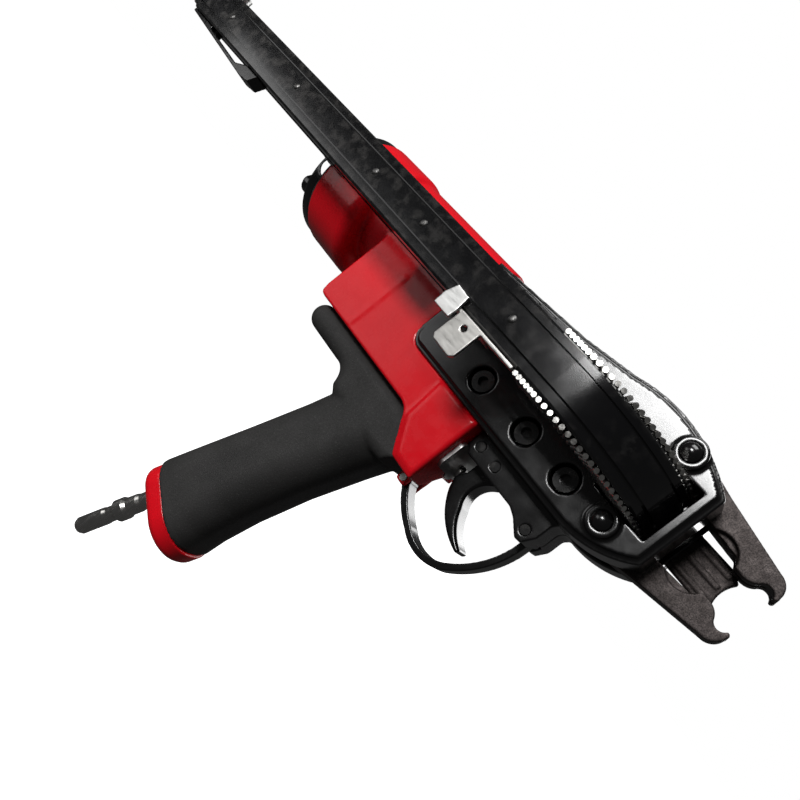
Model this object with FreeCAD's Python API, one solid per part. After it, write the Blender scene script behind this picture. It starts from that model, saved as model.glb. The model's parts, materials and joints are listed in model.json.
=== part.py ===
import FreeCAD
import Part
import math
import os

# Pneumatic C-ring gun: it closes open wire rings around mesh, wire or springs.
#
# Design axes: +X towards the jaws, +Y to the tool's left, +Z up, in millimetres.  Every size below is
# taken from the nose centre, the point midway between the two jaw pivots.  keep() moves each finished
# piece so that the part's origin is the middle of the grip, where a hand or a holder takes the tool.

V = FreeCAD.Vector
X_DIR = V(1, 0, 0)
Y_DIR = V(0, 1, 0)
Z_DIR = V(0, 0, 1)

GRIP_CENTRE = V(-84, 0, -82)

# cylinder and red casting
BARREL_R = 18.5
HEAD_R = 23.3
HEAD_Z = -3.7
HEAD_REAR_X = -154.0
HEAD_FRONT_X = -130.5
HEAD_SHOULDER = 4.0
BARREL_FRONT_X = -80.0
BORE_R = 15.5
SLEEVE_R = 13.5
BULKHEAD = 5.0
ROOT_HALF = 17.5
LEDGE_HALF = 18.4
LEDGE_REAR_X = -61.0
ROOT_FRONT_X = -43.0
ROOT_REAR_X = -117.6
ROOT_TOP_Z = -6.0
FRAME_SEAT_Z = -22.6
GRIP_TOP_Z = -36.2
CHIN_Z = -48.2
PARTING_X = -99.0

# handle
GRIP_HALF = 14.5
GRIP_CORNER = 11.5
CORE_HALF = 9.5
END_CAP_DEPTH = 7.4
HANDLE_END = V(-93.4, 0, -119.8)
RAKE = math.radians(19)
INLET_ALONG = 8.4
EXHAUST_ALONG = 7.8
END_SCREW_YS = (8.6, -8.6)
PLUG_THREAD_R = 4.2
PLUG_BORE_R = 1.7

# frame halves and jaws
FRAME_HALF = 20.0
RIM_WIDTH = 1.6
RIM_DROP = 1.2
NOSE_FRONT_X = 13.5
HOUSING_HALF = 12.0
CAVITY_HALF = 6.0
PIVOT_Z = 13.8
JAW_HALF = 5.5
JAW_PIN_R = 2.6
BOSS_R = 4.4
ROLLER_X = -24.0
ROLLER_Z = 7.5
ROLLER_R = 4.0

# driver: piston, rod, wedge and blade move together
ROD_R = 5.0
WEDGE_REAR_X = -60.0
WEDGE_THICK_X = -46.0
WEDGE_THICK = 7.4
WEDGE_THIN = 3.0
BLADE_FRONT_X = -5.0
FIT = 0.06

# magazine rail, its inward bend and the rings that straddle it
RAIL_FACE_Y = -44.0
RAIL_DEPTH = 10.0
RAIL_HALF = 7.4
RAIL_EDGE = 0.8
CHANNEL_HALF = 4.4
RIDER_Y = -38.0
DRUM_Y = -37.2
RAIL_REAR_X = -247.0
BEND_X = -28.0
BEND_R = 36.0
WIRE_R = 0.75
RING_DEPTH = 11.0
RING_GAP = 0.12
RING_CORNER = 2.0
STRAIGHT_RINGS = 6

# trigger, its valve and the guard
TRIGGER_PIVOT = (-31.7, -26.5)
TRIGGER_HALF = 4.6
HOUSING_PIN_R = 1.5
VALVE_Z = -36.0
VALVE_R = 4.8
VALVE_REAR_X = -57.0
STEM_R = 2.2
GUARD_HALF = 3.6
GUARD_HINGE = (-49.4, -50.4)
GUARD_PIN_R = 1.2
EAR_Y = 4.9
GUARD_FRONT = (-12.3, -30.6)
GUARD_EYE_R = 2.7


# ---------------------------------------------------------------- helpers

def xz(x, z, y=0.0):
    return V(x, y, z)


def outline(steps):
    """Closed face in the XZ plane: (x, z) is a straight run, (mid_x, mid_z, x, z) an arc to (x, z)."""
    start = xz(*steps[0])
    here = start
    edges = []
    for step in steps[1:] + [steps[0]]:
        end = xz(step[-2], step[-1])
        if len(step) == 4:
            edges.append(Part.Arc(here, xz(step[0], step[1]), end).toShape())
        elif here.distanceToPoint(end) > 1e-6:
            edges.append(Part.LineSegment(here, end).toShape())
        here = end
    return Part.Face(Part.Wire(edges))


def slab(steps, half, offset=0.0):
    """Outline thickened to both sides of the plane y = offset."""
    face = outline(steps)
    face.translate(V(0, offset - half, 0))
    return face.extrude(V(0, 2 * half, 0))


def box(x0, x1, y0, y1, z0, z1):
    return Part.makeBox(x1 - x0, y1 - y0, z1 - z0, V(x0, y0, z0))


def rod(start, direction, length, radius):
    return Part.makeCylinder(radius, length, start, direction)


def rod_x(x0, x1, radius, y=0.0, z=0.0):
    return rod(V(x0, y, z), X_DIR, x1 - x0, radius)


def rod_y(y0, y1, radius, x, z):
    return rod(V(x, y0, z), Y_DIR, y1 - y0, radius)


def turned(start, direction, stations):
    """Solid of revolution: stations are (distance along the axis, radius) pairs."""
    points = [V(0, 0, stations[0][0])]
    points += [V(radius, 0, along) for along, radius in stations]
    points += [V(0, 0, stations[-1][0]), points[0]]
    profile = Part.Face(Part.makePolygon(points))
    solid = profile.revolve(V(0, 0, 0), Z_DIR, 360)
    solid.Placement = FreeCAD.Placement(start, FreeCAD.Rotation(Z_DIR, direction))
    return solid


def edges_where(solid, test):
    return [edge for edge in solid.Edges if test(edge.CenterOfMass, edge)]


def is_long(edge, least):
    return edge.Length > least


def mirrored_z(shape):
    return shape.mirror(V(0, 0, 0), Z_DIR)


def keep(name, shape):
    """Move a finished piece into the part's frame and write it."""
    moved = shape.copy()
    moved.translate(GRIP_CENTRE * -1)
    os.makedirs("parts", exist_ok=True)
    moved.exportStep("parts/" + name + ".step")


# ---------------------------------------------------------------- red casting and cylinder

HANDLE_DIR = V(-math.sin(RAKE), 0, -math.cos(RAKE))

# height, rear edge and front edge of the grip, from the web down
GRIP_STATIONS = [(-49.0, -87.5, -56.6), (-62.0, -91.3, -61.6), (-82.0, -98.2, -68.6),
                 (-102.0, -105.4, -74.0), (-116.0, -110.3, -76.6), (-130.0, -115.0, -77.8)]

WEB_OUTLINE = [
    (-66.0, GRIP_TOP_Z), (-112.4, GRIP_TOP_Z), (-117.2, -41.0, -112.4, -45.8),
    (-96.0, -45.8), (-91.0, -47.2, -88.8, -51.4), (-85.0, -54.0), (-64.0, -54.0), (-56.2, -53.0),
    (-54.6, -50.6, -52.4, CHIN_Z), (-61.5, -37.6), (-63.2, -36.6, -66.0, GRIP_TOP_Z)]


def along_handle(shape):
    """Place a shape modelled about the origin, Z up the handle, on the middle of the handle's end."""
    placed = shape.copy()
    placed.Placement = FreeCAD.Placement(HANDLE_END, FreeCAD.Rotation(Y_DIR, math.degrees(RAKE)))
    return placed


def below_handle():
    return along_handle(box(-60.0, 60.0, -40.0, 40.0, -60.0, 0.0))


def handle_core():
    """Cast handle under the rubber: a raked block with rounded corners."""
    core = slab([(-66.0, -30.0), (-78.0, -30.0), (-111.0, -128.0), (-84.8, -128.0)], CORE_HALF)
    upright = edges_where(core, lambda c, e: is_long(e, 80) and abs(abs(c.y) - CORE_HALF) < 0.01)
    return core.makeFillet(4.0, upright).cut(below_handle())


def air_passage():
    return rod(inlet_point(-4.6), HANDLE_DIR * -1, 90, 3.8)


def body_casting():
    barrel = rod_x(HEAD_REAR_X, BARREL_FRONT_X, BARREL_R)
    head = rod_x(HEAD_REAR_X, HEAD_FRONT_X, HEAD_R, 0, HEAD_Z)
    shoulder = edges_where(head, lambda c, e: abs(c.x - HEAD_FRONT_X) < 0.1 and is_long(e, 50))
    head = head.makeFillet(HEAD_SHOULDER, shoulder)
    root = slab([
        (ROOT_REAR_X, ROOT_TOP_Z), (ROOT_REAR_X, -33.2),
        (ROOT_REAR_X + 0.7, -35.4, ROOT_REAR_X + 2.2, GRIP_TOP_Z),
        (-66.0, GRIP_TOP_Z), (-63.2, -36.6, -61.5, -37.6),
        (-52.4, CHIN_Z), (ROOT_FRONT_X, CHIN_Z), (ROOT_FRONT_X, FRAME_SEAT_Z), (-75.0, FRAME_SEAT_Z),
        (-78.6, -21.0, BARREL_FRONT_X, -17.5), (BARREL_FRONT_X, ROOT_TOP_Z)], ROOT_HALF)
    ledge = slab([(LEDGE_REAR_X, FRAME_SEAT_Z), (LEDGE_REAR_X + 1.5, -37.6), (-51.4, -47.2),
                  (ROOT_FRONT_X, -47.2), (ROOT_FRONT_X, FRAME_SEAT_Z)], LEDGE_HALF)
    ledge = ledge.makeChamfer(0.8, edges_where(ledge, lambda c, e: abs(abs(c.y) - LEDGE_HALF) < 0.01))
    beads = [box(PARTING_X - 0.4, PARTING_X + 0.4, -y - 0.3, -y + 0.3, GRIP_TOP_Z + 1.5, -11.0)
             for y in (ROOT_HALF, -ROOT_HALF)]
    ears = [box(GUARD_HINGE[0] - 2.0, GUARD_HINGE[0] + 2.0, side * EAR_Y - 1.2, side * EAR_Y + 1.2,
                GUARD_HINGE[1] - 2.0, CHIN_Z + 0.5) for side in (-1, 1)]
    casting = barrel.fuse([head, root, ledge, handle_core()] + beads + ears)
    bore = rod_x(HEAD_REAR_X - 1, BARREL_FRONT_X - BULKHEAD, BORE_R)
    rod_hole = rod_x(BARREL_FRONT_X - BULKHEAD - 1, BARREL_FRONT_X + 1, ROD_R + 2.0)
    valve_hole = rod_x(VALVE_REAR_X, ROOT_FRONT_X + 1, VALVE_R, 0, VALVE_Z)
    link_hole = rod_x(-76.0, VALVE_REAR_X + 1, 2.0, 0, VALVE_Z + 2.2)
    guard_hole = rod_y(-10, 10, GUARD_PIN_R, *GUARD_HINGE)
    left_relief = box(-57.0, -40.0, EAR_Y + 1.3, 30.0, -60.0, VALVE_Z - 0.5)
    bevel = Part.Face(Part.makePolygon([V(-47.2, y, z) for y, z in (
        (-8.0, CHIN_Z - 1), (-8.0, CHIN_Z), (-1.0, -41.5), (EAR_Y + 2, -41.5), (EAR_Y + 2, CHIN_Z - 1),
        (-8.0, CHIN_Z - 1))])).extrude(V(10, 0, 0))
    return casting.cut([bore, rod_hole, valve_hole, link_hole, guard_hole, left_relief, bevel,
                        air_passage()]).removeSplitter()


def cylinder_sleeve():
    return rod_x(HEAD_REAR_X, BARREL_FRONT_X - BULKHEAD, BORE_R).cut(
        rod_x(HEAD_REAR_X - 1, BARREL_FRONT_X, SLEEVE_R))


def rod_bushing():
    return rod_x(BARREL_FRONT_X - BULKHEAD, BARREL_FRONT_X, ROD_R + 2.0).cut(
        rod_x(BARREL_FRONT_X - 20, BARREL_FRONT_X + 1, ROD_R + FIT))


CAP_FRONT_X = HEAD_REAR_X - 0.8
CAP_REAR_X = -162.3
CAP_R = 22.6
VENT_R = 8.0
CAP_SCREW_CIRCLE = 17.4
CAP_SCREW_ANGLE = 43
CAP_SCREW_HEAD_R = 2.4
CAP_SCREW_R = 1.6
CAP_LUG_R = 3.8
CAP_LUG_REAR_X = CAP_REAR_X - 2.4
CAP_SEAT_X = CAP_LUG_REAR_X + 1.2


def cap_screw_places():
    for corner in range(4):
        angle = math.radians(CAP_SCREW_ANGLE + 90 * corner)
        yield CAP_SCREW_CIRCLE * math.cos(angle), HEAD_Z + CAP_SCREW_CIRCLE * math.sin(angle)


def rear_cap():
    """Cast cap with a raised lug under each screw and a scallop in each side between the lugs."""
    cap = rod_x(CAP_REAR_X, CAP_FRONT_X, CAP_R, 0, HEAD_Z)
    cap = cap.makeChamfer(3.0, edges_where(cap, lambda c, e: c.x < CAP_REAR_X + 0.1 and is_long(e, 50)))
    cap = cap.fuse([rod_x(CAP_LUG_REAR_X, CAP_REAR_X + 3, CAP_LUG_R, y, z) for y, z in cap_screw_places()])
    vent = rod_x(CAP_REAR_X - 1, CAP_REAR_X + 3, VENT_R)
    scallops = [rod(V(CAP_REAR_X - 4, side * 8.5, -6.8), V(1, side * 0.94, 0), 30, 4.4) for side in (1, -1)]
    holes = [rod_x(CAP_REAR_X - 5, CAP_FRONT_X + 1, CAP_SCREW_R, y, z) for y, z in cap_screw_places()]
    seats = [rod_x(CAP_REAR_X - 5, CAP_SEAT_X, CAP_SCREW_HEAD_R, y, z) for y, z in cap_screw_places()]
    return cap.cut([vent] + holes + seats + scallops)


def cap_gasket():
    ring = rod_x(CAP_FRONT_X, HEAD_REAR_X, CAP_R, 0, HEAD_Z)
    holes = [rod_x(CAP_FRONT_X - 1, HEAD_REAR_X + 1, CAP_SCREW_R, y, z) for y, z in cap_screw_places()]
    return ring.cut([rod_x(CAP_FRONT_X - 1, HEAD_REAR_X + 1, SLEEVE_R)] + holes)


def cap_screw(y, z):
    head = rod_x(CAP_SEAT_X - 2.6, CAP_SEAT_X, CAP_SCREW_HEAD_R, y, z)
    socket = rod_x(CAP_SEAT_X - 3, CAP_SEAT_X - 1.0, 1.2, y, z)
    shank = rod_x(CAP_SEAT_X, CAP_FRONT_X, CAP_SCREW_R, y, z)
    return head.fuse(shank).cut(socket)


def exhaust_disc():
    disc = rod_x(CAP_REAR_X + 0.6, CAP_REAR_X + 3.0, VENT_R)
    holes = [rod_x(CAP_REAR_X, CAP_REAR_X + 4, 0.9, 5 * math.cos(a), 5 * math.sin(a))
             for a in (math.radians(60 * n) for n in range(6))]
    return disc.cut(holes)


# ---------------------------------------------------------------- handle

def rounded_section(z, rear_x, front_x, half, corner):
    """Level rounded rectangle, the cross-section of the grip at height z."""
    def arc(x, y, quarter):
        at = [math.radians(90 * quarter + 45 * n) for n in range(3)]
        return Part.Arc(*[V(x + corner * math.cos(a), y + corner * math.sin(a), z) for a in at]).toShape()
    x0, x1 = rear_x + corner, front_x - corner
    y1 = half - corner
    edges = [
        arc(x1, y1, 0), Part.LineSegment(V(x1, half, z), V(x0, half, z)).toShape(),
        arc(x0, y1, 1), Part.LineSegment(V(rear_x, y1, z), V(rear_x, -y1, z)).toShape(),
        arc(x0, -y1, 2), Part.LineSegment(V(x0, -half, z), V(x1, -half, z)).toShape(),
        arc(x1, -y1, 3), Part.LineSegment(V(front_x, -y1, z), V(front_x, y1, z)).toShape()]
    return Part.Wire(edges)


def rubber_grip():
    """Moulded sleeve: raked oval handle, and above it the web with a tang over the hand."""
    handle = Part.makeLoft([rounded_section(z, rear, front, GRIP_HALF, GRIP_CORNER)
                            for z, rear, front in GRIP_STATIONS], True, True)
    web = slab(WEB_OUTLINE, GRIP_HALF)
    low_edges = edges_where(web, lambda c, e: abs(abs(c.y) - GRIP_HALF) < 0.01 and c.x < -60 and
                            (c.z < -40 or c.x < -120) and c.z < GRIP_TOP_Z - 1)
    web = web.makeFillet(4.5, low_edges)
    handle = handle.cut(below_handle())
    return handle.fuse(web).removeSplitter().cut(handle_core())


def handle_end_cap():
    rear, front = -15.6, 18.0
    pad = slab([(rear, 0.0), (front, 0.0), (front, -END_CAP_DEPTH), (rear, -END_CAP_DEPTH)], GRIP_HALF - 0.7)
    corners = edges_where(pad, lambda c, e: abs(e.Length - END_CAP_DEPTH) < 0.01)
    pad = pad.makeFillet(9.0, [edge for edge in corners if edge.CenterOfMass.x < 0])
    corners = edges_where(pad, lambda c, e: abs(e.Length - END_CAP_DEPTH) < 0.01 and abs(c.x - front) < 0.01)
    pad = pad.makeFillet(GRIP_HALF - 1.4, corners)
    bottom = edges_where(pad, lambda c, e: c.z < -END_CAP_DEPTH + 0.1)
    pad = pad.makeFillet(3.0, bottom)
    inlet = rod(V(-INLET_ALONG, 0, -END_CAP_DEPTH - 1), Z_DIR, END_CAP_DEPTH + 2, PLUG_THREAD_R)
    exhaust = rod(V(EXHAUST_ALONG, 0, -END_CAP_DEPTH - 1), Z_DIR, 4.4, 4.4)
    screws = [rod(V(0, y, -END_CAP_DEPTH - 1), Z_DIR, 3.6, 2.2) for y in END_SCREW_YS]
    return along_handle(pad.cut([inlet, exhaust] + screws))


def inlet_point(along):
    """Point on the inlet's axis; 0 is where the plug leaves the end cap."""
    across = V(math.cos(RAKE), 0, -math.sin(RAKE))
    return HANDLE_END + across * -INLET_ALONG + HANDLE_DIR * (END_CAP_DEPTH + along)


def exhaust_filter():
    disc = rod(V(EXHAUST_ALONG, 0, -END_CAP_DEPTH + 1.0), Z_DIR, 2.4, 4.4)
    holes = [rod(V(EXHAUST_ALONG + 2.6 * math.cos(a), 2.6 * math.sin(a), -END_CAP_DEPTH), Z_DIR, 5, 0.7)
             for a in (math.radians(60 * n) for n in range(6))]
    return along_handle(disc.cut(holes))


def end_cap_screw(y):
    head = rod(V(0, y, -END_CAP_DEPTH + 0.6), Z_DIR, 2.0, 2.2)
    return along_handle(head.cut(rod(V(0, y, -END_CAP_DEPTH), Z_DIR, 1.8, 1.1)))


def air_plug():
    """Quick-change plug: thread and flared foot at the cap, waist, collar, groove and nose."""
    stations = [(-4.6, PLUG_THREAD_R), (0.0, PLUG_THREAD_R), (0.0, 4.6), (1.0, 4.5), (3.2, 3.1), (9.6, 3.0),
                (11.0, 3.4), (15.2, 3.4), (16.6, 4.1), (20.2, 4.1), (21.8, 2.9), (24.2, 2.9), (25.6, 3.2),
                (36.6, 3.2), (37.9, 2.5)]
    plug = turned(inlet_point(0), HANDLE_DIR, stations)
    return plug.cut(rod(inlet_point(-10), HANDLE_DIR, 50, PLUG_BORE_R))


# ---------------------------------------------------------------- frame halves

def frame_blank():
    """Frame with its round nose; each side carries a face raised inside a narrow rim."""
    steps = [
        (BARREL_FRONT_X, 13.6), (-43.0, 15.8), (-25.0, 18.4), (-5.0, 19.6, NOSE_FRONT_X, 12.2),
        (NOSE_FRONT_X, -13.6), (4.5, -19.8, -8.0, FRAME_SEAT_Z),
        (-75.0, FRAME_SEAT_Z), (-78.6, -21.0, BARREL_FRONT_X, -17.5)]
    body = slab(steps, FRAME_HALF - RIM_DROP)
    raised = outline(steps).makeOffset2D(-RIM_WIDTH)
    raised.translate(V(0, -FRAME_HALF, 0))
    return body.fuse(raised.extrude(V(0, 2 * FRAME_HALF, 0)))


def trigger_housing():
    return slab([
        (ROOT_FRONT_X + 0.6, -20.0), (ROOT_FRONT_X + 0.6, -28.2), (-40.2, -30.3), (-20.4, -30.0),
        (-17.2, -31.2), (-12.6, -34.3), (-10.4, -33.6), (-8.6, -29.7), (-8.6, -24.6), (-7.6, -22.8),
        (-4.0, -22.0), (-4.0, -20.0)], HOUSING_HALF)


POCKET_Z = -14.0
POCKET_XS = (-52.0, -31.5, -14.5)
POCKET_R = 4.3
POCKET_DEPTH = 3.6


def frame_casting():
    """Both halves of the frame in one, before it is split down the middle."""
    frame = frame_blank().fuse(trigger_housing())
    cavity = [box(-70.0, -32.0, -CAVITY_HALF, CAVITY_HALF, -12.0, 12.0),
              box(-33.0, -22.0, -CAVITY_HALF, CAVITY_HALF, -16.8, 16.8),
              box(-23.0, 30.0, -CAVITY_HALF, CAVITY_HALF, -20.6, 30.0),
              box(-6.0, 30.0, -CAVITY_HALF, CAVITY_HALF, -30.0, 0.0)]
    rod_way = rod_x(BARREL_FRONT_X - 1, -69.0, ROD_R + 1.5)
    trigger_slot = box(-45.0, -18.0, -TRIGGER_HALF - 0.4, TRIGGER_HALF + 0.4, -45.0, -20.2)
    guard_slot = box(GUARD_FRONT[0] - GUARD_EYE_R - 0.3, GUARD_FRONT[0] + GUARD_EYE_R + 0.3,
                     -GUARD_HALF - 0.1, GUARD_HALF + 0.1, -45.0, GUARD_FRONT[1] + GUARD_EYE_R + 0.3)
    frame = frame.cut(cavity + [rod_way, trigger_slot, guard_slot])
    for side in (1, -1):
        boss = rod_y(-FRAME_HALF - 1.8, FRAME_HALF + 1.8, BOSS_R, 0, side * PIVOT_Z)
        frame = frame.fuse(boss.cut(rod_y(-CAVITY_HALF, CAVITY_HALF, BOSS_R + 1, 0, side * PIVOT_Z)))
    pins = [rod_y(-30, 30, JAW_PIN_R, 0, side * PIVOT_Z) for side in (1, -1)]
    pins += [rod_y(-30, 30, HOUSING_PIN_R, x, z) for x, z in HOUSING_PINS]
    pockets = [rod_y(face - POCKET_DEPTH, face + POCKET_DEPTH, POCKET_R, x, POCKET_Z)
               for x in POCKET_XS for face in (-FRAME_HALF, FRAME_HALF)]
    return frame.cut(pins + pockets)


HOUSING_PINS = [TRIGGER_PIVOT, (-39.1, -26.1), GUARD_FRONT]


def frame_right():
    half = frame_casting().common(box(-100, 50, -40, 0, -60, 60))
    window = box(-9.0, 9.6, -30, -CAVITY_HALF + 0.1, -9.4, 9.4)
    return half.cut(window)


def frame_left():
    half = frame_casting().common(box(-100, 50, 0, 40, -60, 60))
    return half.cut(ring_guide())


def frame_screw(x):
    """Socket screw that sits on the floor of its pocket in the right half."""
    floor = POCKET_DEPTH - FRAME_HALF
    head = rod_y(floor - 2.4, floor, 3.4, x, POCKET_Z)
    return head.cut(rod_y(floor - 3, floor - 1.0, 1.6, x, POCKET_Z))


def jaw_pin(side):
    z = side * PIVOT_Z
    pin = rod_y(-FRAME_HALF - 1.2, FRAME_HALF + 2.2, JAW_PIN_R, 0, z)
    dome = Part.makeSphere(JAW_PIN_R * 1.15, V(0, -FRAME_HALF - 1.2 + 0.6, z))
    return pin.fuse(dome.common(box(-5, 5, -FRAME_HALF - 5, -FRAME_HALF - 1.2, z - JAW_PIN_R, z + JAW_PIN_R)
                                ).common(rod_y(-30, 0, JAW_PIN_R, 0, z)))


def housing_pin(x, z):
    return rod_y(-HOUSING_HALF - 0.2, HOUSING_HALF + 0.2, HOUSING_PIN_R, x, z)


# ---------------------------------------------------------------- jaws

def jaw_blank():
    """Upper jaw: forked roller arm behind the pivot, hooked former in front of it."""
    jaw = slab([
        (-27.0, 8.6), (-26.4, 10.4, -24.6, 11.2), (-8.5, 18.0), (0.0, 18.8, 8.0, 17.6), (12.0, 16.6),
        (32.6, 12.4), (35.6, 11.0, 36.8, 8.0), (36.7, 6.9, 35.8, 6.7), (34.2, 8.2, 31.6, 6.9),
        (29.6, 5.3, 27.4, 5.0), (25.4, 5.1), (23.6, 7.4), (13.0, 8.3), (9.0, 9.6), (-7.0, 9.6),
        (-14.5, 7.4), (-22.5, 4.6), (-26.6, 5.2, -27.0, 8.6)], JAW_HALF)
    return jaw


def upper_jaw():
    jaw = jaw_blank()
    pin_hole = rod_y(-10, 10, JAW_PIN_R + FIT, 0, PIVOT_Z)
    fork = box(-32.0, -18.6, -3.3, 3.3, -2.0, 13.0)
    roller_pin_hole = rod_y(-10, 10, 1.5, ROLLER_X, ROLLER_Z)
    ring_groove = slab([(24.0, 4.0), (38.0, 4.0), (38.0, 7.4), (31.0, 8.6), (24.0, 7.6)], 0.9)
    side_pocket = rod_y(-JAW_HALF - 1, -JAW_HALF + 1.6, 6.0, 19.5, 3.6)
    return jaw.cut([pin_hole, fork, roller_pin_hole, ring_groove, side_pocket])


def roller():
    return rod_y(-3.0, 3.0, ROLLER_R, ROLLER_X, ROLLER_Z).cut(rod_y(-4, 4, 1.5 + FIT, ROLLER_X, ROLLER_Z))


def roller_pin():
    return rod_y(-JAW_HALF, JAW_HALF, 1.5, ROLLER_X, ROLLER_Z)


def ring_guide():
    """Backing plate beside the jaws, with two ribs that steer the ring's crown."""
    plate = slab([(11.0, -6.4), (25.5, -6.4), (28.6, -4.6), (27.4, 0.0, 28.6, 4.6), (25.5, 6.4), (11.0, 6.4)],
                 1.4, 7.8)
    ribs = [box(13.5, 26.0, 6.15, 6.5, z - 0.6, z + 0.6) for z in (-4.2, 0.0, 4.2)]
    return plate.fuse(ribs)


# ---------------------------------------------------------------- driver

def piston():
    body = rod_x(-150.0, -140.0, SLEEVE_R - 0.3).cut(rod_x(-147.0, -143.0, SLEEVE_R))
    return body.fuse(rod_x(-147.5, -142.5, SLEEVE_R - 2.2))


def piston_seal():
    return rod_x(-146.9, -143.1, SLEEVE_R - 0.12).cut(rod_x(-148.0, -142.0, SLEEVE_R - 2.2))


def piston_rod():
    return rod_x(-140.0, WEDGE_REAR_X, ROD_R)


def wedge_cam():
    return slab([(WEDGE_REAR_X, -WEDGE_THICK), (WEDGE_THICK_X, -WEDGE_THICK), (ROLLER_X, -WEDGE_THIN),
                 (ROLLER_X, WEDGE_THIN), (WEDGE_THICK_X, WEDGE_THICK), (WEDGE_REAR_X, WEDGE_THICK)], 5.0)


def feed_blade():
    return box(ROLLER_X, BLADE_FRONT_X, -1.5, 1.5, -WEDGE_THIN + 0.2, WEDGE_THIN - 0.2)


# ---------------------------------------------------------------- trigger, valve and guard

def trigger():
    """Hooked trigger blade; its eye turns on the trigger pin inside the housing."""
    x, z = TRIGGER_PIVOT
    blade = slab([
        (-35.4, -26.4), (x - 1.6, z + 3.2), (x + 2.6, z + 2.6, x + 3.2, z - 1.2), (-30.4, -30.6),
        (-33.2, -36.0, -31.0, -41.6), (-27.4, -46.0, -20.9, -49.4), (-21.6, -50.9),
        (-31.0, -48.0, -38.6, -41.0), (-40.0, -37.6), (-38.4, -33.6), (-38.4, -30.4)], TRIGGER_HALF)
    soft = edges_where(blade, lambda c, e: abs(abs(c.y) - TRIGGER_HALF) < 0.01 and c.z < -34)
    blade = blade.makeChamfer(0.7, [edge for edge in soft if is_long(edge, 8)])
    return blade.cut(rod_y(-8, 8, HOUSING_PIN_R + FIT, x, z))


def valve_body():
    body = rod_x(VALVE_REAR_X, ROOT_FRONT_X, VALVE_R, 0, VALVE_Z)
    plate = box(ROOT_FRONT_X, ROOT_FRONT_X + 1.2, -14.0, 5.8, -39.4, -28.6)
    corners = edges_where(plate, lambda c, e: abs(e.Length - 1.2) < 0.01)
    bore = rod_x(VALVE_REAR_X - 1, ROOT_FRONT_X + 3, STEM_R + FIT, 0, VALVE_Z)
    return body.fuse(plate.makeFillet(2.4, corners)).cut(bore)


STEM_FRONT_X = ROOT_FRONT_X + 2.7


def valve_stem():
    shaft = rod_x(VALVE_REAR_X + 4, STEM_FRONT_X, STEM_R, 0, VALVE_Z)
    tip = edges_where(shaft, lambda c, e: c.x > STEM_FRONT_X - 0.1 and is_long(e, 5))
    return shaft.makeFillet(0.8, tip)


def trigger_guard():
    """Flat strip bent round the finger, with an eye at each end."""
    outer = [(-50.4, -50.8), (-44.6, -55.8, -37.0, -59.4), (-28.0, -60.8, -20.4, -57.4),
             (-12.9, -46.0, -10.6, -32.0)]
    inner = [(-12.7, -32.0), (-15.0, -45.6, -21.9, -55.6), (-28.6, -58.6, -36.4, -57.3),
             (-43.2, -53.9, -48.4, -49.2)]
    strip = slab(outer + inner, GUARD_HALF)
    eyes = [rod_y(-GUARD_HALF, GUARD_HALF, 2.0, *GUARD_HINGE),
            rod_y(-GUARD_HALF, GUARD_HALF, GUARD_EYE_R, *GUARD_FRONT)]
    holes = [rod_y(-10, 10, GUARD_PIN_R, *GUARD_HINGE), rod_y(-10, 10, HOUSING_PIN_R, *GUARD_FRONT)]
    return strip.fuse(eyes).cut(holes).removeSplitter()


def guard_hinge_pin():
    return rod_y(-EAR_Y - 1.4, EAR_Y + 1.4, GUARD_PIN_R, *GUARD_HINGE)


# ---------------------------------------------------------------- magazine

def rail_section():
    """U-shaped section at the nose end of the straight run; the open side faces the gun."""
    def point(z, inward):
        return V(BEND_X, RAIL_FACE_Y + inward, z)
    half = [(RAIL_HALF - 0.7, 0.0), (4.7, 0.0), (4.7, 0.8), (3.9, 0.8), (3.9, -0.5)]
    face = [point(z, n) for z, n in half] + [point(-z, n) for z, n in reversed(half)]
    side = [(RAIL_HALF, 0.7), (RAIL_HALF, RAIL_DEPTH - RAIL_EDGE), (RAIL_HALF - RAIL_EDGE, RAIL_DEPTH),
            (CHANNEL_HALF, RAIL_DEPTH), (CHANNEL_HALF, 3.6)]
    back = [point(-z, n) for z, n in side] + [point(z, n) for z, n in reversed(side)]
    points = face + back
    return Part.Face(Part.makePolygon(points + [points[0]]))


BEND_AXIS = V(BEND_X, RAIL_FACE_Y + BEND_R, 0)


def magazine_rail():
    straight = rail_section().extrude(V(RAIL_REAR_X - BEND_X, 0, 0))
    bend = rail_section().revolve(BEND_AXIS, Z_DIR, 88)
    rail = straight.fuse(bend).removeSplitter()
    slot = box(RAIL_REAR_X + 4, -49.0, RIDER_Y - 1.5, RIDER_Y + 1.5, -RAIL_HALF - 1, -CHANNEL_HALF + 1)
    return rail.cut(slot)


def ring(place):
    """One C-ring: crown towards the gun, pointed legs over both edges of the rail."""
    z = RAIL_HALF + RING_GAP + WIRE_R
    crown = RAIL_DEPTH + RING_GAP + WIRE_R
    bend = RING_CORNER
    tip = crown - RING_DEPTH + WIRE_R
    corner = bend * (1 - math.sqrt(0.5))
    path = Part.Wire([
        Part.LineSegment(V(0, tip, z), V(0, crown - bend, z)).toShape(),
        Part.Arc(V(0, crown - bend, z), V(0, crown - corner, z - corner), V(0, crown, z - bend)).toShape(),
        Part.LineSegment(V(0, crown, z - bend), V(0, crown, -z + bend)).toShape(),
        Part.Arc(V(0, crown, -z + bend), V(0, crown - corner, -z + corner), V(0, crown - bend, -z)).toShape(),
        Part.LineSegment(V(0, crown - bend, -z), V(0, tip, -z)).toShape()])
    section = Part.Wire(Part.makeCircle(WIRE_R - 0.01, V(0, tip, z), Y_DIR))
    solid = path.makePipeShell([section], True, True)
    solid.Placement = place
    return solid


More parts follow.
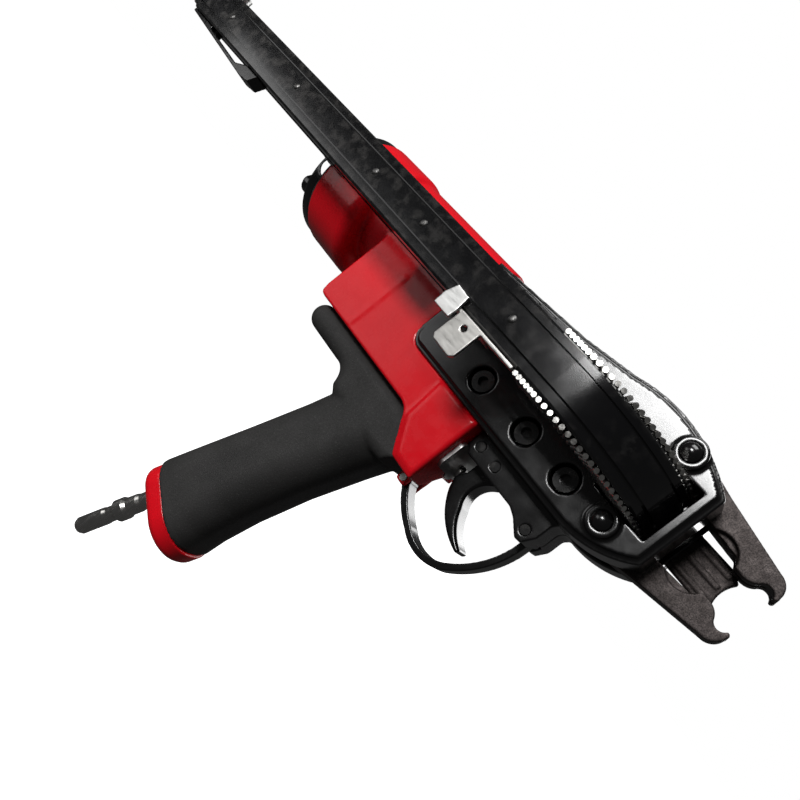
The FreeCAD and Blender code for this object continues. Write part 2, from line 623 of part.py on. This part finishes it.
def ring_places():
    pitch = 2 * WIRE_R
    for n in range(STRAIGHT_RINGS):
        yield FreeCAD.Placement(V(BEND_X - pitch * (n + 0.5), RAIL_FACE_Y, 0), FreeCAD.Rotation())
    crown_r = BEND_R - RAIL_DEPTH - RING_GAP - 2 * WIRE_R
    step = math.degrees(pitch / crown_r)
    for n in range(int(86 / step)):
        turn = FreeCAD.Rotation(Z_DIR, (n + 0.5) * step)
        start = V(BEND_X, RAIL_FACE_Y, 0)
        yield FreeCAD.Placement(BEND_AXIS + turn.multVec(start - BEND_AXIS), turn)


def ring_strip():
    return Part.makeCompound([ring(place) for place in ring_places()])


PUSHER_FRONT_X = BEND_X - 2 * WIRE_R * STRAIGHT_RINGS - 0.3
TAB_FRONT_X = -50.0
TAB_REAR_X = -59.5


def pusher():
    """Bent steel pusher under the rail: arm to the last ring, thumb tab, and a T-shaped rider."""
    low = -RAIL_HALF - 1.5
    arm = box(TAB_REAR_X, PUSHER_FRONT_X, -44.6, -42.8, low, -RAIL_HALF - 0.3)
    shelf = box(TAB_REAR_X - 4, TAB_FRONT_X, -44.6, -36.0, low, -RAIL_HALF - 0.3)
    rider_z = -CHANNEL_HALF + 0.3
    neck = box(TAB_REAR_X - 4, TAB_FRONT_X, RIDER_Y - 1.2, RIDER_Y + 1.2, -RAIL_HALF - 0.4, rider_z)
    head = box(TAB_REAR_X - 4, TAB_FRONT_X, RIDER_Y - 2.1, RIDER_Y + 2.1, rider_z, rider_z + 1.6)
    tab = slab([(TAB_REAR_X, -8.0), (TAB_REAR_X, -17.2), (-58.3, -18.4), (-51.2, -18.6), (TAB_FRONT_X, -17.4),
                (TAB_FRONT_X, -8.0)], 0.5, -44.1)
    hole = rod_y(-50, -40, 0.9, -54.6, -10.8)
    return arm.fuse([shelf, neck, head, tab]).cut(hole)


def pusher_clip():
    """Spring clip behind the tab that lets the pusher latch over the rail's edge."""
    body = slab([(-66.5, -12.0), (-60.0, -12.0), (-59.8, -9.0), (-60.4, -4.6), (-65.6, -4.2), (-66.8, -8.0)],
                0.5, RAIL_FACE_Y - 1.1)
    return body


def feed_spring_drum():
    drum = rod(V(-44.0, DRUM_Y, -3.6), Z_DIR, 7.2, 2.9)
    return drum.cut(rod(V(-44.0, DRUM_Y, -4.0), Z_DIR, 8, 1.2))


def spring_drum_pin():
    return rod(V(-44.0, DRUM_Y, -CHANNEL_HALF), Z_DIR, 2 * CHANNEL_HALF, 1.2)


def magazine_standoff():
    """Block that carries the middle of the rail off the side of the barrel."""
    block = box(-100.0, -84.0, RAIL_FACE_Y + RAIL_DEPTH, -14.0, -4.4, 7.4)
    return block.cut(rod_x(-105.0, -80.0, BARREL_R))


def rear_magazine_arm():
    """Arm from the side of the cylinder head out to the back of the rail."""
    back = RAIL_FACE_Y + RAIL_DEPTH
    arm = box(-155.6, -146.0, back, -18.0, -6.6, 6.6).cut(rod_x(-170, -140, HEAD_R + 0.02, 0, HEAD_Z))
    foot = box(-165.0, -146.0, back, back + 3.0, -6.4, 6.4)
    return arm.fuse(foot)


ARM_SCREW_X = -160.0


def strap_screw():
    """Cap screw that clamps the arm's foot, seen from the rear."""
    head = rod_y(RAIL_FACE_Y + RAIL_DEPTH + 3.0, RAIL_FACE_Y + RAIL_DEPTH + 5.4, 2.6, ARM_SCREW_X, 0)
    return head.cut(rod_y(RAIL_FACE_Y + RAIL_DEPTH + 4.2, RAIL_FACE_Y + RAIL_DEPTH + 6, 1.3, ARM_SCREW_X, 0))


BRACKET_HALF = 3.0
BRACKET_Y = -39.0
END_SCREW_X = -238.0


def rear_bracket():
    """Loop of strip under the rail's rear end, closed by a block: the loading stop."""
    outer = [(RAIL_REAR_X - 1.6, 7.4), (RAIL_REAR_X - 1.6, -8.6), (-199.0, -12.0), (-193.0, -11.4),
             (-190.6, -RAIL_HALF), (-199.6, -RAIL_HALF)]
    inner = [(-205.6, -10.0), (-231.5, -8.4), (-231.5, -RAIL_HALF), (RAIL_REAR_X, -RAIL_HALF),
             (RAIL_REAR_X, RAIL_HALF)]
    return slab(outer + inner, BRACKET_HALF, BRACKET_Y)


def rail_end_plug():
    plug = box(RAIL_REAR_X - 6.0, RAIL_REAR_X - 1.6, -42.6, -35.4, -6.4, 6.4)
    return plug.makeFillet(1.4, edges_where(plug, lambda c, e: c.x < RAIL_REAR_X - 5.9))


def end_screw():
    head = rod(V(END_SCREW_X, BRACKET_Y, RAIL_HALF), Z_DIR, 3.2, 3.6)
    return head.cut(box(END_SCREW_X - 4, END_SCREW_X + 4, BRACKET_Y - 0.5, BRACKET_Y + 0.5, RAIL_HALF + 2.2,
                        RAIL_HALF + 4))


RIVET_XS = (-224.0, -170.0, -117.0, -90.0, -48.0)


def rail_rivet(x):
    return turned(V(x, RAIL_FACE_Y - 0.5, 0), V(0, -1, 0), [(0, 1.2), (0.25, 1.0), (0.45, 0.6), (0.5, 0.2)])


# ---------------------------------------------------------------- write every piece

def main():
    single_pieces = [
        body_casting, cylinder_sleeve, rod_bushing, rear_cap, cap_gasket, exhaust_disc,
        rubber_grip, handle_end_cap, exhaust_filter, air_plug, frame_right, frame_left, upper_jaw,
        ring_guide, piston, piston_seal, piston_rod, wedge_cam, feed_blade, trigger, valve_body, valve_stem,
        trigger_guard, guard_hinge_pin, magazine_rail, ring_strip, pusher, pusher_clip, feed_spring_drum,
        spring_drum_pin, magazine_standoff, rear_magazine_arm, strap_screw, rear_bracket, rail_end_plug,
        end_screw]
    for piece in single_pieces:
        keep(piece.__name__, piece())
    keep("lower_jaw", mirrored_z(upper_jaw()))
    for side, label in ((1, "upper"), (-1, "lower")):
        keep(label + "_jaw_pin", jaw_pin(side))
        flip = mirrored_z if side < 0 else Part.Shape.copy
        keep(label + "_roller", flip(roller()))
        keep(label + "_roller_pin", flip(roller_pin()))
    for n, (y, z) in enumerate(cap_screw_places(), 1):
        keep("cap_screw_%d" % n, cap_screw(y, z))
    for n, y in enumerate(END_SCREW_YS, 1):
        keep("end_cap_screw_%d" % n, end_cap_screw(y))
    for name, (x, z) in zip(("trigger_pin", "housing_pin", "guard_pin"), HOUSING_PINS):
        keep(name, housing_pin(x, z))
    for n, x in enumerate(POCKET_XS, 1):
        keep("frame_screw_%d" % n, frame_screw(x))
    keep("rail_rivets", Part.makeCompound([rail_rivet(x) for x in RIVET_XS]))


main()
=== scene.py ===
"""Looks of the pneumatic C-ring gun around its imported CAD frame: materials, meshes, light and camera."""
import json
import math

import bpy
from mathutils import Matrix, Vector


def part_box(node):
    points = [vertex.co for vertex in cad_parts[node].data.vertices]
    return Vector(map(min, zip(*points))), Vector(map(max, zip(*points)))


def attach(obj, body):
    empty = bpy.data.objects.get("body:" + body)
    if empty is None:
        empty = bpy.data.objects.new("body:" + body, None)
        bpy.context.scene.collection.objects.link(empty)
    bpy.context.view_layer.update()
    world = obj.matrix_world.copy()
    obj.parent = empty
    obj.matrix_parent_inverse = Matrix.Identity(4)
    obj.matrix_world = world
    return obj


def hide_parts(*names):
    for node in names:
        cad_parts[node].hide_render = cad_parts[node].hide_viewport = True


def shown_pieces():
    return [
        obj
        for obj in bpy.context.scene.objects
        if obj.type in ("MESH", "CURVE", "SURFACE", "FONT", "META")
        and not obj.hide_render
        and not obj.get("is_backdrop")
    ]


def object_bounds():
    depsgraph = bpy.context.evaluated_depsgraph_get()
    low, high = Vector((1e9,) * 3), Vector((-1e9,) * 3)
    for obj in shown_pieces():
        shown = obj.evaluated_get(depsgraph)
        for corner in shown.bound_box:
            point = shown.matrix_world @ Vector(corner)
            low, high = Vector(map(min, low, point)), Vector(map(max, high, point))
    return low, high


MM = 0.001

EDGE_ROUND = 0.15 * MM
EDGE_SHARPER_THAN = math.radians(40)
WELD_GAP = 0.002 * MM

FLOOR_HALF = 6.0
FLOOR_GAP = 2 * MM
FLOOR_GLOW = 0.96
ROOM_GLOW = 0.05

FOCAL_LENGTH = 31.49
SENSOR_WIDTH = 36.0
CAMERA_ROLL = math.radians(51.88)

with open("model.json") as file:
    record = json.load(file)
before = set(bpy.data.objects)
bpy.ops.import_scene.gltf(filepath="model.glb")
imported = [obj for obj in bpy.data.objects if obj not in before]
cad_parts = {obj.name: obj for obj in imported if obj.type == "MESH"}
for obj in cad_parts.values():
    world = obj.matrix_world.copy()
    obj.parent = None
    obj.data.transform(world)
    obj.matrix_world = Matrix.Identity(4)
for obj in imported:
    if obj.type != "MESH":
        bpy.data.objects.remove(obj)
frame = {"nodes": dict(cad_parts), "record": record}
cad_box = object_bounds()
BODY_OF = {node: body for body, members in frame["record"]["behaviour"]["bodies"].items() for node in members}


# ---------------------------------------------------------------- places worked out from the frame

def middle(node):
    low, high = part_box(node)
    return (Vector(low) + Vector(high)) / 2


ROLLER_MIDDLE = (middle("upper_roller_pin") + middle("lower_roller_pin")) / 2
JAW_MIDDLE = Vector((middle("upper_jaw_pin").x, 0, ROLLER_MIDDLE.z))


def gun(x, y, z):
    """A point given in millimetres from the middle of the two jaw pivots."""
    return JAW_MIDDLE + Vector((x, y, z)) * MM


# ---------------------------------------------------------------- material helpers

def new_material(name):
    material = bpy.data.materials.new(name)
    material.use_nodes = True
    tree = material.node_tree
    return material, tree, tree.nodes["Principled BSDF"]


def node(tree, kind, **values):
    """Add a node; a value whose name is an input sets that input, anything else is an attribute."""
    made = tree.nodes.new(kind)
    for key, value in values.items():
        label = key.replace("_", " ")
        if label in made.inputs:
            made.inputs[label].default_value = value
        else:
            setattr(made, key, value)
    return made


def noise(tree, scale, detail=4.0, roughness=0.55, stretch=None):
    """Noise with scale cells a metre; a stretch below 1 draws them out along X, Y or Z."""
    where = node(tree, "ShaderNodeTexCoord")
    out = node(tree, "ShaderNodeTexNoise", Scale=scale, Detail=detail, Roughness=roughness)
    if stretch:
        squeeze = node(tree, "ShaderNodeMapping")
        squeeze.inputs["Scale"].default_value = stretch
        tree.links.new(where.outputs["Object"], squeeze.inputs["Vector"])
        tree.links.new(squeeze.outputs["Vector"], out.inputs["Vector"])
    else:
        tree.links.new(where.outputs["Object"], out.inputs["Vector"])
    return out.outputs["Fac"]


def remap(tree, source, low, high, to_low, to_high):
    """Carry the range low to high over to to_low to to_high, held at both ends."""
    out = node(tree, "ShaderNodeMapRange")
    for key, value in (("From Min", low), ("From Max", high), ("To Min", to_low), ("To Max", to_high)):
        out.inputs[key].default_value = value
    tree.links.new(source, out.inputs["Value"])
    return out.outputs["Result"]


def two_colours(tree, factor, first, second):
    """The first colour where the factor is 0, the second where it is 1."""
    mix = node(tree, "ShaderNodeMix", data_type="RGBA")
    mix.inputs["A"].default_value = (*first, 1)
    mix.inputs["B"].default_value = (*second, 1)
    tree.links.new(factor, mix.inputs["Factor"])
    return mix.outputs["Result"]


def blend_over(tree, factor, under, colour):
    """A colour laid over what is under it, as far as the factor says."""
    mix = node(tree, "ShaderNodeMix", data_type="RGBA")
    mix.inputs["B"].default_value = (*colour, 1)
    tree.links.new(factor, mix.inputs["Factor"])
    tree.links.new(under, mix.inputs["A"])
    return mix.outputs["Result"]


def bump(tree, height, distance, strength, under=None):
    """Surface relief of that depth in metres, on top of the relief under it."""
    out = node(tree, "ShaderNodeBump", Strength=strength, Distance=distance)
    tree.links.new(height, out.inputs["Height"])
    if under:
        tree.links.new(under, out.inputs["Normal"])
    return out.outputs["Normal"]


def edge_mask(tree, low, high):
    """0 on flats and hollows, rising to 1 on the outer edges of a finely divided mesh."""
    shape = node(tree, "ShaderNodeNewGeometry")
    return remap(tree, shape.outputs["Pointiness"], low, high, 0.0, 1.0)


def times(tree, first, second):
    out = node(tree, "ShaderNodeMath", operation="MULTIPLY")
    tree.links.new(first, out.inputs[0])
    tree.links.new(second, out.inputs[1])
    return out.outputs["Value"]


# ---------------------------------------------------------------- materials

def red_enamel():
    """Thick glossy enamel over a cast body: faint orange peel and colour pooling."""
    material, tree, shader = new_material("red_enamel")
    broad = noise(tree, 45, 3)
    colour = two_colours(tree, broad, (0.56, 0.0035, 0.009), (0.66, 0.005, 0.013))
    tree.links.new(colour, shader.inputs["Base Color"])
    tree.links.new(remap(tree, noise(tree, 260, 4), 0.3, 0.7, 0.2, 0.34), shader.inputs["Roughness"])
    peel = bump(tree, noise(tree, 620, 2), 0.00004, 0.35)
    tree.links.new(bump(tree, noise(tree, 90, 3), 0.0003, 0.25, peel), shader.inputs["Normal"])
    shader.inputs["Coat Weight"].default_value = 0.12
    shader.inputs["Coat Roughness"].default_value = 0.1
    shader.inputs["Specular IOR Level"].default_value = 0.22
    return material


def black_enamel(name, base, rough_low, rough_high, coat, grain):
    """Black paint; grain is the depth of its texture in metres."""
    material, tree, shader = new_material(name)
    mottled = two_colours(tree, noise(tree, 70, 4), base, tuple(c * 1.7 for c in base))
    worn = times(tree, edge_mask(tree, 0.56, 0.68), remap(tree, noise(tree, 300, 5), 0.48, 0.66, 0.0, 0.55))
    tree.links.new(blend_over(tree, worn, mottled, (0.1, 0.095, 0.09)), shader.inputs["Base Color"])
    sheen = remap(tree, noise(tree, 180, 5), 0.3, 0.7, rough_low, rough_high)
    tree.links.new(sheen, shader.inputs["Roughness"])
    fine = bump(tree, noise(tree, 1500, 3), grain, 0.6)
    tree.links.new(bump(tree, noise(tree, 160, 3), grain * 4, 0.3, fine), shader.inputs["Normal"])
    shader.inputs["Coat Weight"].default_value = coat
    shader.inputs["Coat Roughness"].default_value = 0.09
    return material


def phosphate():
    """Parkerised steel: dark brown-grey with a salt-and-pepper crystal grain."""
    material, tree, shader = new_material("phosphate")
    crystals = noise(tree, 2600, 3, 0.7)
    speck = remap(tree, crystals, 0.36, 0.66, 0.0, 1.0)
    colour = two_colours(tree, speck, (0.018, 0.0145, 0.014), (0.066, 0.055, 0.052))
    worn = times(tree, edge_mask(tree, 0.55, 0.66), remap(tree, noise(tree, 420, 5), 0.42, 0.6, 0.0, 0.8))
    tree.links.new(blend_over(tree, worn, colour, (0.15, 0.14, 0.135)), shader.inputs["Base Color"])
    tree.links.new(remap(tree, noise(tree, 500, 4), 0.3, 0.7, 0.42, 0.62), shader.inputs["Roughness"])
    shader.inputs["Metallic"].default_value = 0.75
    tree.links.new(bump(tree, crystals, 0.00006, 0.7), shader.inputs["Normal"])
    return material


def grip_rubber():
    """Moulded rubber with a fine spark-eroded grain and a dusty bloom."""
    material, tree, shader = new_material("grip_rubber")
    grain = noise(tree, 1500, 4, 0.65)
    bloom = remap(tree, noise(tree, 60, 4), 0.35, 0.7, 0.0, 1.0)
    colour = two_colours(tree, bloom, (0.017, 0.0165, 0.016), (0.027, 0.026, 0.0255))
    light_specks = remap(tree, noise(tree, 2400, 2), 0.62, 0.72, 0.0, 0.5)
    tree.links.new(blend_over(tree, light_specks, colour, (0.075, 0.073, 0.07)), shader.inputs["Base Color"])
    tree.links.new(remap(tree, grain, 0.3, 0.7, 0.62, 0.85), shader.inputs["Roughness"])
    tree.links.new(bump(tree, grain, 0.00012, 0.75), shader.inputs["Normal"])
    shader.inputs["Specular IOR Level"].default_value = 0.35
    return material


def bare_metal(name, dark, light, rough_low, rough_high, brush):
    """Metal with fine machining marks; brush below 1 draws them out along X, Y or Z."""
    material, tree, shader = new_material(name)
    marks = noise(tree, 900, 3, 0.6, brush)
    tree.links.new(two_colours(tree, noise(tree, 240, 4), dark, light), shader.inputs["Base Color"])
    tree.links.new(remap(tree, marks, 0.3, 0.7, rough_low, rough_high), shader.inputs["Roughness"])
    shader.inputs["Metallic"].default_value = 1.0
    tree.links.new(bump(tree, marks, 0.00002, 0.5), shader.inputs["Normal"])
    return material


RED = red_enamel()
RAIL_BLACK = black_enamel("rail_black", (0.0016, 0.0016, 0.0019), 0.12, 0.18, 0.5, 0.0000015)
FRAME_BLACK = black_enamel("frame_black", (0.0024, 0.0023, 0.0024), 0.17, 0.24, 0.2, 0.00001)
PHOSPHATE = phosphate()
RUBBER = grip_rubber()
ZINC = bare_metal("bright_zinc", (0.3, 0.295, 0.28), (0.46, 0.45, 0.43), 0.26, 0.42, (0.2, 1, 1))
WIRE = bare_metal("ring_wire", (0.5, 0.49, 0.46), (0.78, 0.77, 0.74), 0.18, 0.36, (1, 0.1, 1))
NICKEL = bare_metal("plug_nickel", (0.5, 0.49, 0.47), (0.72, 0.71, 0.69), 0.16, 0.34, (1, 1, 0.2))
DARK_STEEL = bare_metal("dark_steel", (0.07, 0.068, 0.066), (0.13, 0.128, 0.125), 0.3, 0.48, (1, 1, 1))
ALUMINIUM = bare_metal("machined_aluminium", (0.44, 0.44, 0.43), (0.6, 0.6, 0.59), 0.28, 0.45, (0.15, 1, 1))
BRASS = bare_metal("brass", (0.42, 0.27, 0.09), (0.58, 0.4, 0.16), 0.25, 0.4, (1, 1, 1))
SEAL = black_enamel("seal_rubber", (0.012, 0.012, 0.012), 0.6, 0.75, 0.0, 0.00002)

SLOT_MATERIALS = {
    "red_paint": RED, "black_paint": FRAME_BLACK, "black_phosphate": PHOSPHATE, "grip_rubber": RUBBER,
    "bright_steel": ZINC, "dark_steel": DARK_STEEL, "aluminium_parts": ALUMINIUM, "seal_rubber": SEAL,
    "brass_parts": BRASS}
NODE_SLOT = {part["node"]: part["material_slot"] for part in frame["record"]["subparts"]}


def paint(obj, material):
    obj.data.materials.clear()
    obj.data.materials.append(material)


# ---------------------------------------------------------------- mesh helpers

def link(name, data):
    """A new object in the scene that shows the mesh, lamp or camera."""
    obj = bpy.data.objects.new(name, data)
    bpy.context.scene.collection.objects.link(obj)
    return obj


def evaluated(obj):
    depsgraph = bpy.context.evaluated_depsgraph_get()
    return bpy.data.meshes.new_from_object(obj.evaluated_get(depsgraph))


def soften(cad_name, voxel, rounds, material):
    """Cast, moulded or forged piece: the CAD shape with every edge rounded, as a fine even mesh."""
    work = link(cad_name + "_work", frame["nodes"][cad_name].data.copy())
    weld = work.modifiers.new("weld", "WELD")
    weld.merge_threshold = WELD_GAP
    remesh = work.modifiers.new("remesh", "REMESH")
    remesh.mode = "VOXEL"
    remesh.voxel_size = voxel * MM
    remesh.use_smooth_shade = True
    relax = work.modifiers.new("relax", "SMOOTH")
    relax.factor = 0.5
    relax.iterations = rounds
    mesh = evaluated(work)
    mesh.name = cad_name + "_finished"
    bpy.data.objects.remove(work)
    finished = link(cad_name + "_finished", mesh)
    paint(finished, material)
    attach(finished, BODY_OF[cad_name])
    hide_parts(cad_name)


# ---------------------------------------------------------------- cast, moulded and forged pieces

# node: voxel in millimetres, rounds of smoothing, material
SOFTENED = {
    "body_casting": (0.6, 6, RED),
    "handle_end_cap": (0.4, 5, RED),
    "rubber_grip": (0.6, 8, RUBBER),
    "frame_right": (0.4, 3, FRAME_BLACK),
    "frame_left": (0.5, 3, FRAME_BLACK),
    "upper_jaw": (0.3, 3, PHOSPHATE),
    "lower_jaw": (0.3, 3, PHOSPHATE),
    "ring_guide": (0.3, 2, PHOSPHATE),
    "trigger": (0.3, 5, FRAME_BLACK),
    "trigger_guard": (0.3, 4, FRAME_BLACK),
    "rear_cap": (0.4, 4, FRAME_BLACK),
    "rear_bracket": (0.3, 3, FRAME_BLACK),
    "rear_magazine_arm": (0.4, 3, FRAME_BLACK),
    "magazine_standoff": (0.4, 3, FRAME_BLACK),
    "pusher": (0.18, 3, ZINC),
    "pusher_clip": (0.18, 3, ALUMINIUM),
}

for name, (voxel, rounds, material) in SOFTENED.items():
    soften(name, voxel, rounds, material)


# ---------------------------------------------------------------- machined pieces that keep their CAD shape

PAINTED_FASTENERS = ("frame_screw_1", "frame_screw_2", "frame_screw_3", "upper_jaw_pin", "lower_jaw_pin",
                     "trigger_pin", "housing_pin", "guard_pin")
FINISH_OF = dict.fromkeys(PAINTED_FASTENERS, FRAME_BLACK)
FINISH_OF.update(magazine_rail=RAIL_BLACK, rail_end_plug=RAIL_BLACK, rail_rivets=DARK_STEEL, ring_strip=WIRE,
                 air_plug=NICKEL)

for name, obj in frame["nodes"].items():
    if not obj.hide_render:
        paint(obj, FINISH_OF.get(name, SLOT_MATERIALS[NODE_SLOT[name]]))


# ---------------------------------------------------------------- stage, light and camera

def white_floor():
    """A pale floor just under the tool that lights and mirrors nothing."""
    level = cad_box[0][2] - FLOOR_GAP
    mesh = bpy.data.meshes.new("floor")
    corners = [(-1, -1), (1, -1), (1, 1), (-1, 1)]
    mesh.from_pydata([(x * FLOOR_HALF, y * FLOOR_HALF, level) for x, y in corners], [], [(0, 1, 2, 3)])
    floor = link("floor", mesh)
    material, tree, shader = new_material("floor_white")
    shader.inputs["Base Color"].default_value = (0.85, 0.85, 0.85, 1)
    shader.inputs["Roughness"].default_value = 0.9
    shader.inputs["Emission Color"].default_value = (1, 1, 1, 1)
    shader.inputs["Emission Strength"].default_value = FLOOR_GLOW
    paint(floor, material)
    floor.visible_diffuse = False
    floor.visible_glossy = False
    floor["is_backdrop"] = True


def white_surroundings():
    """White to the camera; a dim grey room to everything that the tool reflects."""
    world = bpy.data.worlds.new("studio")
    bpy.context.scene.world = world
    world.use_nodes = True
    tree = world.node_tree
    tree.nodes.clear()
    out = node(tree, "ShaderNodeOutputWorld")
    seen = node(tree, "ShaderNodeBackground", Color=(1, 1, 1, 1), Strength=1.0)
    room = node(tree, "ShaderNodeBackground", Color=(1, 1, 1, 1), Strength=ROOM_GLOW)
    ray = node(tree, "ShaderNodeLightPath")
    mix = node(tree, "ShaderNodeMixShader")
    tree.links.new(ray.outputs["Is Camera Ray"], mix.inputs["Fac"])
    tree.links.new(room.outputs["Background"], mix.inputs[1])
    tree.links.new(seen.outputs["Background"], mix.inputs[2])
    tree.links.new(mix.outputs["Shader"], out.inputs["Surface"])


def softbox(name, place, aim, width, height, power):
    """A rectangular lamp in metres and watts, turned to face a point."""
    light = bpy.data.lights.new(name, "AREA")
    light.shape = "RECTANGLE"
    light.size = width
    light.size_y = height
    light.energy = power
    lamp = link(name, light)
    lamp.location = place
    lamp.rotation_euler = (Vector(aim) - Vector(place)).to_track_quat("-Z", "Y").to_euler()


CAMERA_PLACE = gun(37.94, -200.67, -26.08)
CAMERA_LOOKS = Vector((-0.48863, 0.87107, -0.04984))


def set_camera():
    data = bpy.data.cameras.new("camera")
    data.lens = FOCAL_LENGTH
    data.sensor_width = SENSOR_WIDTH
    data.clip_start = 0.01
    data.clip_end = 20
    camera = link("camera", data)
    level = CAMERA_LOOKS.to_track_quat("-Z", "Y").to_matrix().to_4x4()
    camera.matrix_world = Matrix.Translation(CAMERA_PLACE) @ level @ Matrix.Rotation(CAMERA_ROLL, 4, "Z")
    bpy.context.scene.camera = camera


white_floor()
white_surroundings()
softbox("overhead", (-0.12, -0.35, 0.75), (-0.03, 0, 0.05), 0.6, 0.4, 5)
softbox("front", gun(-220, -900, 290), gun(-30, -20, 0), 0.34, 0.2, 7)
softbox("low_fill", (-0.5, -0.5, -0.02), (-0.05, 0, 0), 0.4, 0.3, 0.6)
softbox("back", (0.2, 0.8, 0.4), (0, 0, 0.05), 0.6, 0.5, 3)
set_camera()
bpy.context.scene.view_settings.view_transform = "Standard"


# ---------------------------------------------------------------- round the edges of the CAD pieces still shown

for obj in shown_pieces():
    if obj.name in frame["nodes"]:
        bevel = obj.modifiers.new("edge", "BEVEL")
        bevel.width = EDGE_ROUND
        bevel.segments = 2
        bevel.limit_method = "ANGLE"
        bevel.angle_limit = EDGE_SHARPER_THAN
